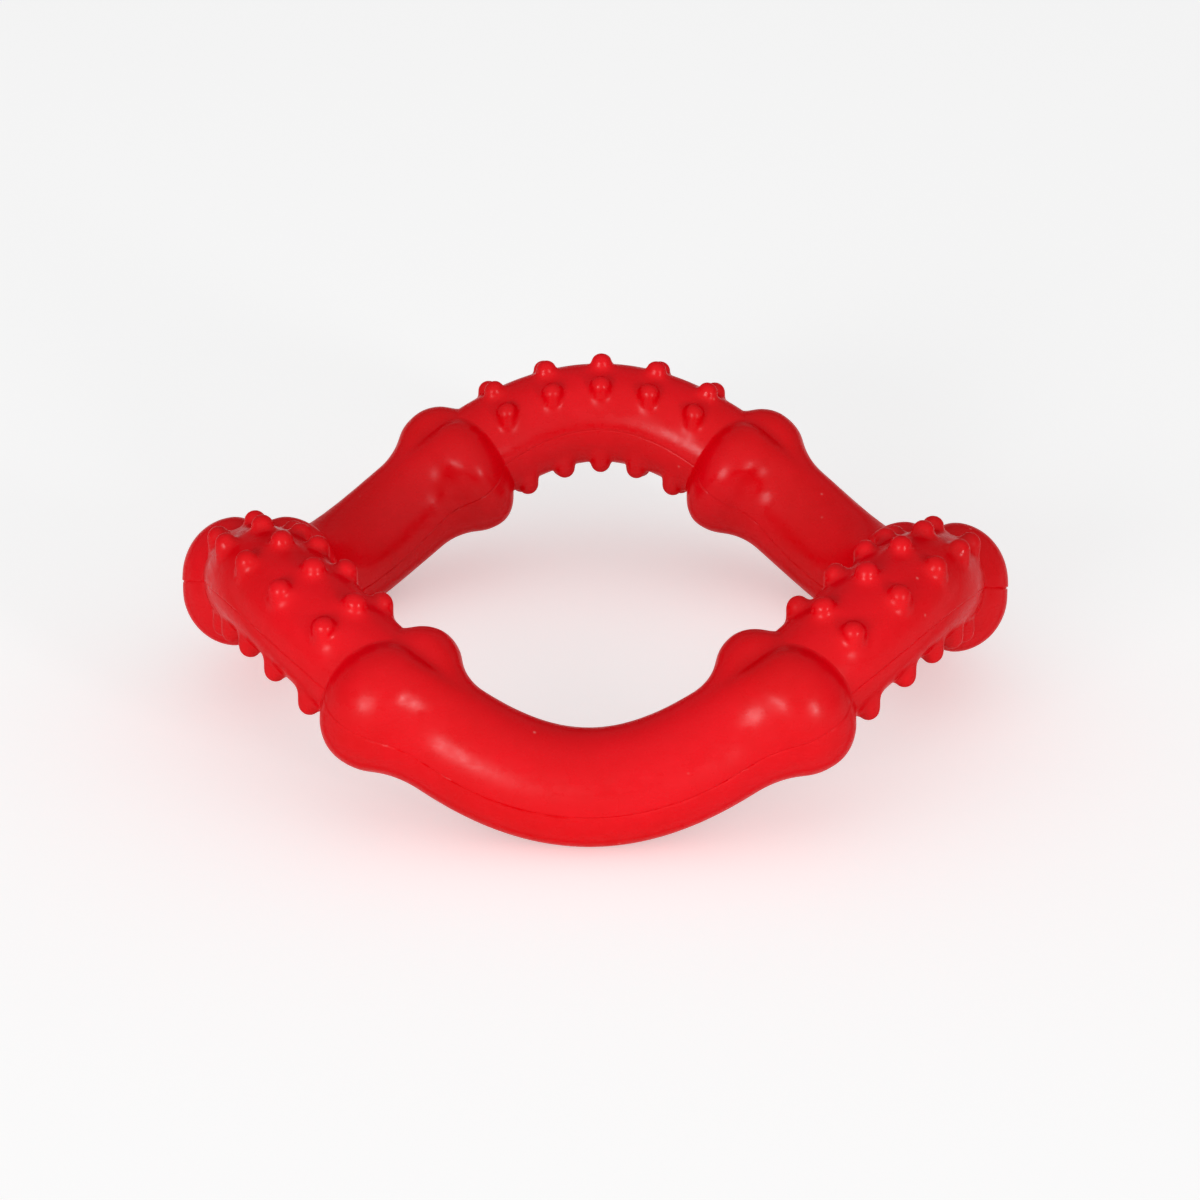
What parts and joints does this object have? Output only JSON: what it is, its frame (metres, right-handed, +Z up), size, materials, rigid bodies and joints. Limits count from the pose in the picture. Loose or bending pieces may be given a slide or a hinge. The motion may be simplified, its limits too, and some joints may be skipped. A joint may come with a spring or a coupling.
{
  "type": "dog chew ring",
  "caption": "Wavy ring of solid red rubber made of smooth bone shapes joined by arched, studded tubes, for a dog to chew, fetch and tug.",
  "frame": {"origin": "on the ring's axis, at the plane that the bones lie on", "axes": "+Z up along the ring's axis, +X to the right and +Y to the back, with one bone at the front and one studded arc at the back"},
  "size_m": [0.1482, 0.1389, 0.0428],
  "materials": {
    "red_rubber": "semi-gloss moulded natural rubber"
  },
  "bodies": {
    "root": {"bone_front": "red_rubber", "bone_right": "red_rubber", "bone_left": "red_rubber", "studded_arc_back": "red_rubber", "studded_arc_left": "red_rubber", "studded_arc_right": "red_rubber"}
  },
  "joints": []
}
